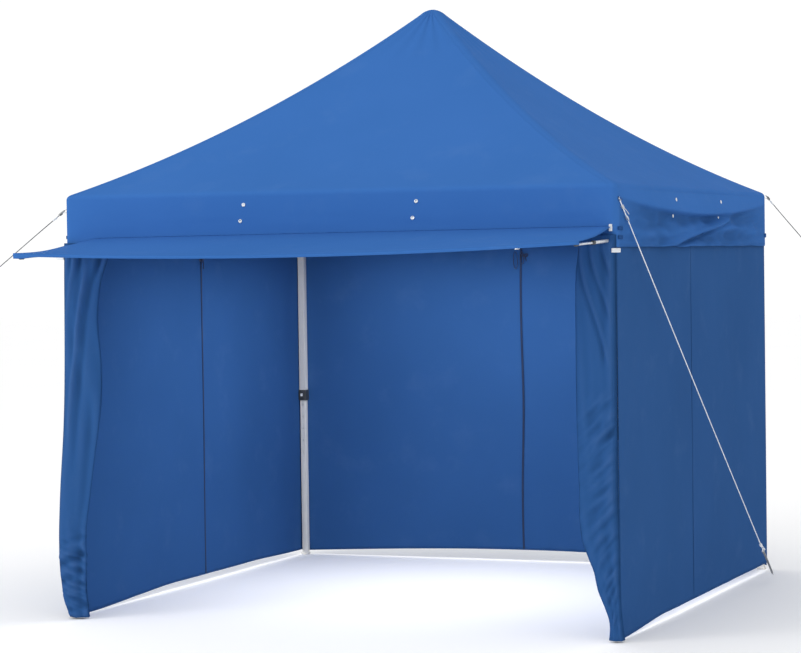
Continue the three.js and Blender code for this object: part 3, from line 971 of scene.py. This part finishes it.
def strip_on_wall(side, start, hem, way, out, section, material, wander=0.0):
    """A vertical zip or seam tape on a wall's face, with its coil down the middle."""
    z = np.linspace(STRIP_TOP, hem + 0.006, 120)
    shift = wander * np.array([noise.noise(Vector((value * 1.1, 0.3, 7.7))) for value in z])
    path = np.array((*start, 0), float) + np.outer(shift, (*way, 0)) + np.outer(z, (0, 0, 1.0))
    out3, way3 = np.array((*out, 0.0)), np.array((*way, 0.0))
    half, thick = section[0] / 2, section[1]
    outline = [(-half, 0), (-half * 0.95, 0.6), (-half * 0.3, 0.7), (0, 1.5), (half * 0.3, 0.7)]
    outline += [(half * 0.95, 0.6), (half, 0), (0, -0.3)]
    rings = [np.array([centre + way3 * a + out3 * b * thick for a, b in outline]) for centre in path]
    count = len(outline)
    faces = grid_faces(len(path), count, closed=True) + end_caps(len(path), count)
    return make_piece(f"zip_{side}", np.vstack(rings), faces, material)


UP = np.array([0, 0, 1.0])
TIE_TAPE = rounded_bar((0.0035, 0.0011), 0.001, 2)


def tie_bow(centre, way, out, size=0.030):
    """A small bow with two tails in flat tie tape."""
    centre, way, out = np.array(centre, float), np.array((*way, 0.0)), np.array((*out, 0.0))
    parts = []
    for sign in (-1, 1):
        t = np.linspace(0, 1, 26)
        a = 2 * math.pi * t
        reach = sign * size * (1 - np.cos(a)) / 2
        rise = size * 0.42 * np.sin(a) + 0.25 * size * (1 - np.cos(a)) / 2
        loop = centre + np.outer(reach, way) + np.outer(rise, UP) + np.outer(0.006 + 0.004 * np.sin(a), out)
        parts.append(loft(loop, TIE_TAPE))
        t = np.linspace(0, 1, 16)
        tail = centre + np.outer(sign * size * 0.55 * t**0.7, way)
        tail = tail - np.outer(size * (1.5 + 0.35 * sign) * t**1.3, UP)
        tail = tail + np.outer(0.006 + 0.003 * np.sin(math.pi * t), out)
        parts.append(loft(tail, TIE_TAPE))
    knot_line = centre + np.outer(np.linspace(-0.006, 0.006, 7), UP) + 0.007 * out
    parts.append(loft(knot_line, rounded_bar((0.006, 0.004), 0.003, 2), 1 - 0.3 * np.linspace(-1, 1, 7) ** 2))
    return together(parts)


def hanging_loops(centre, way, out):
    """The roll-up loops that hang at the back wall's top: two long slack loops of tape."""
    centre, way, out = np.array(centre, float), np.array((*way, 0.0)), np.array((*out, 0.0))
    a = np.linspace(0, 2 * math.pi, 34)
    parts = []
    for shift, drop, wide in ((-0.014, 0.105, 0.026), (0.028, 0.075, 0.024)):
        line = centre + np.outer(shift + wide / 2 * np.sin(a), way)
        line = line - np.outer(drop * (1 - np.cos(a)) / 2, UP)
        line = line + np.outer(0.008 + 0.003 * np.cos(a), out)
        parts.append(loft(line, TIE_TAPE))
    return together(parts)


def side_hem(place):
    """Lower edge of the side walls: on the ground at the front leg, and held a little off it beyond."""
    return 0.004 + 0.034 * ease(place, 0.04, 0.42) - 0.010 * ease(place, 0.72, 1.0)


def right_hem(place):
    return 0.004 + 0.026 * ease(place, 0.0, 0.28) + 0.004 * place


def back_hem(place):
    return 0.020 + 0.045 * np.sin(math.pi * place)


def build_walls():
    depth = WALL_BACK_Y - WALL_FRONT_Y
    back_half = -WALL_X - 0.002
    inside = WALL_BACK_Y - 0.006
    left = wall_sheet("left", (WALL_X, WALL_FRONT_Y), (0, 1), depth, side_hem, 11.0, (-1, 0))
    right = wall_sheet("right", (-WALL_X, WALL_FRONT_Y), (0, 1), depth, right_hem, 23.0, (1, 0))
    back = wall_sheet(
        "back", (-back_half, WALL_BACK_Y - 0.001), (1, 0), 2 * back_half, back_hem, 37.0, (0, 1)
    )
    left_zip = strip_on_wall(
        "left", (WALL_X + 0.003, 0.083), side_hem(0.53), (0, 1), (1, 0), ZIP_SECTION, ZIP_TAPE, 0.012
    )
    back_zip = strip_on_wall(
        "back", (-0.008, WALL_BACK_Y - 0.004), back_hem(0.5), (1, 0), (0, -1), ZIP_SECTION, ZIP_TAPE, 0.03
    )
    right_zip = strip_on_wall(
        "right", (-WALL_X + 0.0015, -0.137), right_hem(0.46), (0, 1), (1, 0), SEAM_SECTION, WALL_CLOTH
    )
    left_bow = tie_bow((WALL_X + 0.006, 0.075, 1.865), (0, 1), (1, 0))
    left_tie = make_piece("zip_tie_left", *left_bow, NAVY_CORD)
    loops = hanging_loops((-0.035, inside, 1.885), (1, 0), (0, -1))
    back_bow = tie_bow((0.010, inside, 1.86), (1, 0), (0, -1), 0.018)
    back_tie = make_piece("zip_loops_back", *together([loops, back_bow]), NAVY_CORD)
    for piece in (left_zip, back_zip, right_zip, left_tie, back_tie):
        hang_on_frame(piece, rises=True)


# ---- Front curtains ----
CURTAIN_LAYERS = 7
CURTAIN_DEPTH = 0.024
CURTAIN_TOP = 1.960
CURTAIN_LOW = 0.008
CURTAIN_WIDTH = 1.45
LAYER_COLUMNS = 22
CURTAIN_ROWS = 190


def lay_curtain(side, outer, inner, crumple, seed):
    """A drawn-back curtain: the cloth goes to and fro between its outer and inner edges.

    outer(z) and inner(z) give the two edges in X, and crumple(share, z) how far the foremost layer's folds
    stand out, where share runs from the outer edge to the inner one.
    """
    columns = CURTAIN_LAYERS * LAYER_COLUMNS + 1
    q, fall = np.meshgrid(np.linspace(0, CURTAIN_LAYERS, columns), np.linspace(0, 1, CURTAIN_ROWS))
    z = CURTAIN_TOP + (CURTAIN_LOW - CURTAIN_TOP) * fall
    swing = (1 - np.cos(math.pi * q)) / 2
    share = np.where(q <= 1, np.clip(q, 0, 1), swing)
    tuck = 1 - 0.10 * ease(q, 1.0, 1.6)
    x_outer, x_inner = outer(z), inner(z)
    x = x_outer + (x_inner - x_outer) * share * tuck
    y = curtain_front(z) + CURTAIN_DEPTH * q / CURTAIN_LAYERS
    relief = np.maximum(0.016 + crumple(share, z), 0.001) * (1 - 0.6 * ease(z, 1.90, 1.95))
    relief = relief * ease(share, -0.02, 0.10)
    y = y - relief * (1 - 0.75 * ease(q, 0.96, 1.5))
    y = y + 0.0025 * rumple(x * 3, z, (0.2, 0.25), seed) * ease(q, 1.2, 2.0)
    points = np.stack([x, y, z], axis=-1).reshape(-1, 3)
    faces = grid_faces(CURTAIN_ROWS, columns)
    curtain = make_piece(f"curtain_front_{side}", points, faces, CURTAIN_CLOTH)
    s = q / CURTAIN_LAYERS * CURTAIN_WIDTH
    seam = np.minimum(np.minimum(s, CURTAIN_WIDTH - s), z - CURTAIN_LOW)
    dress(curtain, np.column_stack([s.ravel(), z.ravel()]), seam.ravel(), np.where(z < 0.03, s, z).ravel())
    thicken(curtain, 0.0008)
    # painted shade in the curtain's fold hollows and a painted highlight on its crests
    mark_folds(curtain, relief, 4, 0.013)
    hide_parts(f"front_{side}_curtain")
    hang_on_frame(curtain, rises=True)
    return curtain


def edge_curve(heights, values):
    """A smooth edge through values at heights, both listed from the ground up."""
    heights, values = np.array(heights, float), np.array(values, float)
    slopes = np.gradient(values, heights)

    def curve(z):
        z = np.clip(z, heights[0], heights[-1])
        i = np.clip(np.searchsorted(heights, z) - 1, 0, len(heights) - 2)
        gap = heights[i + 1] - heights[i]
        t = (z - heights[i]) / gap
        a = (1 + 2 * t) * (1 - t) ** 2 * values[i] + t * (1 - t) ** 2 * gap * slopes[i]
        b = t**2 * (3 - 2 * t) * values[i + 1] + t**2 * (t - 1) * gap * slopes[i + 1]
        return a + b

    return curve


def left_crumple(share, z):
    """The left bundle: a round roll with one long ridge, ruffled at the top and crushed at the foot."""
    roll = 0.020 * np.sin(math.pi * np.clip(share, 0, 1)) ** 0.8
    ridge_at = 0.62 - 0.40 * ease(1.92 - z, 0.0, 0.90)
    ridge = 0.015 * hump(share, ridge_at, 0.055) * ease(z, 0.80, 1.15)
    valley = 0.009 * hump(share, ridge_at + 0.18, 0.08) * ease(z, 0.6, 1.1)
    second = 0.009 * hump(share, 0.28 - 0.20 * ease(1.9 - z, 0.0, 0.5), 0.05) * ease(z, 1.35, 1.6)
    long_valley = 0.013 * hump(share, 0.74 + 0.05 * np.sin(3 * z), 0.12) * (1 - ease(z, 0.95, 1.3))
    ruffle = 0.010 * np.cos(share * 30 + 3 * np.sin(6 * z)) * ease(z, 1.74, 1.88)
    long_folds = 0.008 * rumple(share * 0.25 + 0.12 * z, z, (0.060, 0.40), 2.2)
    foot = 1 - ease(z, 0.32, 0.50)
    rolls = rumple(share * 0.20 + 0.1 * z, z - 0.05 * share, (0.26, 0.042), 4.9)
    sharp = np.abs(rumple(share * 0.18, z + 0.06 * share, (0.22, 0.036), 12.9))
    crushed = foot * (0.022 * rolls - 0.026 * sharp)
    return roll + ridge - valley + second - long_valley + ruffle + long_folds + crushed


def right_crumple(share, z):
    """The right bundle: folds slanting down from the top, calm below them and crushed lower down."""
    roll = 0.014 * np.sin(math.pi * np.clip(share, 0, 1)) ** 0.8
    slant = 0.0
    for top, bottom, fall, depth in (
        (0.62, 0.06, 0.42, 0.009),
        (0.92, 0.16, 0.62, 0.010),
        (0.30, 0.02, 0.22, 0.008),
    ):
        line = top + (bottom - top) * ease(1.93 - z, 0.0, fall)
        here = ease(z, 1.93 - fall, 2.02 - fall) * depth
        slant = slant + here * (hump(share, line, 0.040) - 0.7 * hump(share, line + 0.10, 0.045))
    crushed = ease(z, 0.02, 0.10) * (1 - ease(z, 1.05, 1.30)) * (1 - 0.8 * ease(share, 0.40, 0.90))
    rolls = rumple(share * 0.2 - 0.10 * z, z + 0.10 * share, (0.12, 0.075), 15.2)
    rolls = rolls + 0.7 * rumple(share * 0.2 + 0.15 * z, z + 0.18 * share, (0.16, 0.034), 17.9)
    sharp = np.abs(rumple(share * 0.2 + 0.1 * z, z + 0.16 * share, (0.13, 0.055), 19.4))
    long_folds = 0.008 * rumple(share * 0.22 - 0.05 * z, z, (0.050, 0.6), 31.0)
    return roll + slant + crushed * (0.015 * rolls - 0.024 * sharp) + long_folds


curtain_front = edge_curve((0.0, 1.0, 1.96), (-1.518, -1.518, -1.516))  # the foremost layer's Y


def build_curtains():
    left = lay_curtain(
        "left",
        edge_curve(
            (0.0, 0.06, 0.22, 0.40, 0.60, 1.0, 1.96),
            (-1.496, -1.520, -1.550, -1.556, -1.548, -1.518, -1.497),
        ),
        edge_curve(
            (0.0, 0.14, 0.30, 0.46, 0.66, 0.80, 1.10, 1.35, 1.60, 1.76, 1.90, 1.96),
            (-1.378, -1.392, -1.388, -1.388, -1.358, -1.335, -1.290, -1.282, -1.296, -1.276, -1.232, -1.225),
        ),
        left_crumple,
        1.0,
    )
    right = lay_curtain(
        "right",
        edge_curve((0.0, 0.1, 0.5, 1.96), (1.520, 1.508, 1.497, 1.496)),
        edge_curve(
            (0.0, 0.05, 0.11, 0.16, 0.24, 0.34, 0.46, 0.78, 1.15, 1.50, 1.78, 1.96),
            (1.447, 1.452, 1.446, 1.430, 1.396, 1.372, 1.325, 1.305, 1.297, 1.296, 1.302, 1.322),
        ),
        right_crumple,
        5.0,
    )


# ---- Small fittings on the cloth ----
EYELET_PROFILE = (
    (0, 0),
    (0.0104, 0),
    (0.0100, 0.0018),
    (0.0078, 0.0030),
    (0.0052, 0.0022),
    (0.0045, 0.0006),
    (0, 0.0006),
)
EYELET_HEIGHTS = (2.140, 2.058)
FRONT_EYELETS = (-0.470, 0.470)
SIDE_EYELETS = (-0.520, 0.378)


def valance_place(side, place, z):
    """A point on the valance's outer face."""
    normal, way = np.array(SIDE_NORMALS[side], float), np.array(SIDE_WAYS[side], float)
    stand = float(valance_stand(np.array([side]), np.array([place]), np.array([z]))[0]) + 0.0008
    return np.array([*(way * place * HALF + normal * (HALF + stand)), z])


def build_eyelets():
    parts = []
    for side, centres in ((0, FRONT_EYELETS), (1, SIDE_EYELETS), (2, FRONT_EYELETS), (3, SIDE_EYELETS)):
        for centre in centres:
            for z, shift in zip(EYELET_HEIGHTS, (0.0, -0.02 if side in (0, 2) else 0.01)):
                place = valance_place(side, (centre + shift) / HALF, z)
                parts.append(lathe(EYELET_PROFILE, 20, place, (*SIDE_NORMALS[side], 0.1)))
    eyelets = make_piece("valance_eyelets", *together(parts), ZINC_METAL)
    hang_on_frame(eyelets)


def patch(centre, size, out):
    """A small rectangle of hook-and-loop tape with soft corners, on a side valance."""
    outline = np.array(rounded_bar((size[0] / 2, size[1] / 2), 0.003, 2))
    rings = []
    for level, grow in ((-0.0004, 1.0), (0.0018, 0.97)):
        flat = np.column_stack([np.full(len(outline), out * level), grow * outline])
        rings.append(np.asarray(centre, float) + flat)
    return np.vstack(rings), grid_faces(2, len(outline), closed=True) + end_caps(2, len(outline))


def build_patches():
    parts = []
    for sign in (-1, 1):
        face = sign * (HALF + 0.0022)
        for z in (1.990, 1.947):
            parts.append(patch((face, -1.445, z), (0.075, 0.018), sign))
        parts.append(patch((face, 1.470, 1.960), (0.045, 0.024), sign))
    patches = make_piece("valance_patches", *together(parts), TAB_CLOTH)
    hang_on_frame(patches)


ROD_X = 1.462


def rod_assembly(sign):
    """One telescopic awning rod: a hooked ring at the leg, an outer and an inner tube, and a plastic tip."""
    x = sign * ROD_X
    lower = 0.5 * (1 - sign)  # the left rod hangs a little lower than the right one
    ring_at = np.array([x, -1.510, 1.930 - 0.016 * lower])
    joint = np.array([x, -1.760, 1.9215 - 0.022 * lower])
    tip = np.array([x, -2.032, 1.912 - 0.026 * lower])
    outer = smooth_path([ring_at + (0, -0.012, 0), (ring_at + joint) / 2, joint], 24)
    inner = smooth_path([joint + (0, 0.02, 0), (joint + tip) / 2, tip], 24)
    ring = ring_solid(0.010, 0.0028, ring_at, (0, 0.15, 1))
    metal = together([ring, tube(outer, 0.0085, 14), tube(inner, 0.0062, 14)])
    collar = smooth_path([joint + (0, 0.018, 0.0006), joint, joint + (0, -0.016, -0.0005)], 8)
    cap = smooth_path([tip + (0, 0.03, 0.0006), tip, tip + (0, -0.012, -0.0003)], 8)
    plastic = together([tube(collar, 0.0105, 14), tube(cap, [0.0088] * 7 + [0.0075, 0.005], 14)])
    return metal, plastic


def clip(centre, half):
    """A white moulded clip: a rounded block with a waist."""
    long_axis = int(np.argmax(half))
    axis = np.eye(3)[long_axis] * half[long_axis]
    t = np.linspace(-1, 1, 13)
    path = np.asarray(centre, float) + np.outer(t, axis)
    others = [h for k, h in enumerate(half) if k != long_axis]
    return loft(path, rounded_bar(others, 0.3 * min(others)), 1 - 0.06 * t**4)


def build_awning_rods():
    for side, sign in (("left", -1), ("right", 1)):
        metal, plastic = rod_assembly(sign)
        rod = make_piece(f"awning_rod_{side}", *metal, ZINC_METAL)
        ends = make_piece(f"awning_rod_ends_{side}", *plastic, DARK_PLASTIC)
        moulded = [clip((sign * 1.508, -1.541, 1.884), (0.0215, 0.005, 0.0105))]
        if side == "right":
            moulded.append(clip((1.472, -1.508, 1.993), (0.0115, 0.006, 0.0170)))
        clips = make_piece(f"awning_clips_{side}", *together(moulded), PALE_PLASTIC)
        for piece in (rod, ends, clips):
            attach(piece, f"front_{side}_upper_leg")


# ---- Frame finishes ----
def soften_edges(node, width):
    """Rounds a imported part's sharp edges with modifiers, and leaves its mesh as it is."""
    node.data.shade_smooth()
    weld = node.modifiers.new("weld", "WELD")
    weld.merge_threshold = 0.00005
    bevel = node.modifiers.new("edges", "BEVEL")
    bevel.width = width
    bevel.segments = 2
    bevel.limit_method = "ANGLE"
    bevel.angle_limit = math.radians(40)
    bevel.harden_normals = True


def finish(name, material, width):
    node = frame["nodes"][name]
    node.data.materials.clear()
    node.data.materials.append(material)
    soften_edges(node, width)


COLLAR_LOW, COLLAR_HIGH = 0.965, 1.040
BRACKET_LOW = 2.066
TUBE_REACH = 0.0202  # faces further than this from a leg's axis are on its collar


def mark_mouldings(corner):
    """Gives an upper leg's top bracket and lock collar their own dark plastic."""
    mesh = frame["nodes"][f"{corner}_upper_leg"].data
    mesh.materials.append(DARK_PLASTIC)
    for face in mesh.polygons:
        x, y, z = face.center
        off_axis = max(abs(abs(x) - LEG), abs(abs(y - CENTRE_Y) - LEG))
        on_collar = COLLAR_LOW < z < COLLAR_HIGH and off_axis > TUBE_REACH
        face.material_index = int(z > BRACKET_LOW or on_collar)


def finish_frame():
    for corner in CORNERS:
        finish(f"{corner}_upper_leg", TUBE_METAL, 0.0022)
        mark_mouldings(corner)
        finish(f"{corner}_lower_leg", TUBE_METAL, 0.002)
        finish(f"{corner}_slider", DARK_PLASTIC, 0.0025)
        finish(f"{corner}_leg_button", PALE_PLASTIC, 0.0015)
        for part in ("outer", "inner"):
            finish(f"{corner}_{part}_rafter", TUBE_METAL, 0.0015)
    for side in ("front", "right", "back", "left"):
        for pair in (1, 2, 3):
            for bar in ("falling", "rising"):
                finish(f"{side}_scissor_{pair}_{bar}", TUBE_METAL, 0.0015)
    finish("centre_hub", DARK_PLASTIC, 0.002)
    finish("peak_mast", TUBE_METAL, 0.001)


# ---- Floor and light ----
FLOOR_HALF = 60
FLOOR_Z = -0.001


def make_floor():
    mesh = bpy.data.meshes.new("floor")
    corners = [(x * FLOOR_HALF, y * FLOOR_HALF, FLOOR_Z) for x, y in ((-1, -1), (1, -1), (1, 1), (-1, 1))]
    mesh.from_pydata(corners, [], [(0, 1, 2, 3)])
    floor = bpy.data.objects.new("floor", mesh)
    n = Nodes("floor_paint")
    tone = n.ramp(n.noise(n.place(), 0.6, 2.0), (0.945, 0.945, 0.948), (0.955, 0.955, 0.955), 0.3, 0.7)
    n.set(Base_Color=tone, Roughness=0.9)
    mesh.materials.append(n.material)
    bpy.context.scene.collection.objects.link(floor)


def area_light(name, place, target, size, power):
    data = bpy.data.lights.new(name, "AREA")
    data.shape = "RECTANGLE"
    data.size, data.size_y = size
    data.energy = power
    light = bpy.data.objects.new(name, data)
    light.location = place
    light.rotation_euler = (Vector(target) - Vector(place)).to_track_quat("-Z", "Y").to_euler()
    light.visible_camera = False
    bpy.context.scene.collection.objects.link(light)


def make_light():
    world = bpy.data.worlds.new("studio")
    world.use_nodes = True
    background = world.node_tree.nodes["Background"]
    background.inputs["Color"].default_value = (1.0, 1.0, 1.0, 1)
    background.inputs["Strength"].default_value = 1.05
    bpy.context.scene.world = world
    room_y = CENTRE_Y + 0.1
    area_light("key", (-9.0, -9.5, 5.0), (0, 0, 1.4), (5, 4), 430)
    area_light("front_fill", (2.0, -12.0, 1.5), (0, 1.5, 0.9), (4, 3), 70)
    area_light("under_roof", (0, room_y, 1.95), (0, room_y, 0), (2.1, 2.1), 54)
    bpy.context.scene.view_settings.view_transform = "Standard"


# ---- Assembly ----
make_camera()
build_ropes()
build_roof()
build_awning()
build_walls()
build_curtains()
build_eyelets()
build_patches()
build_awning_rods()
finish_frame()
make_floor()
make_light()
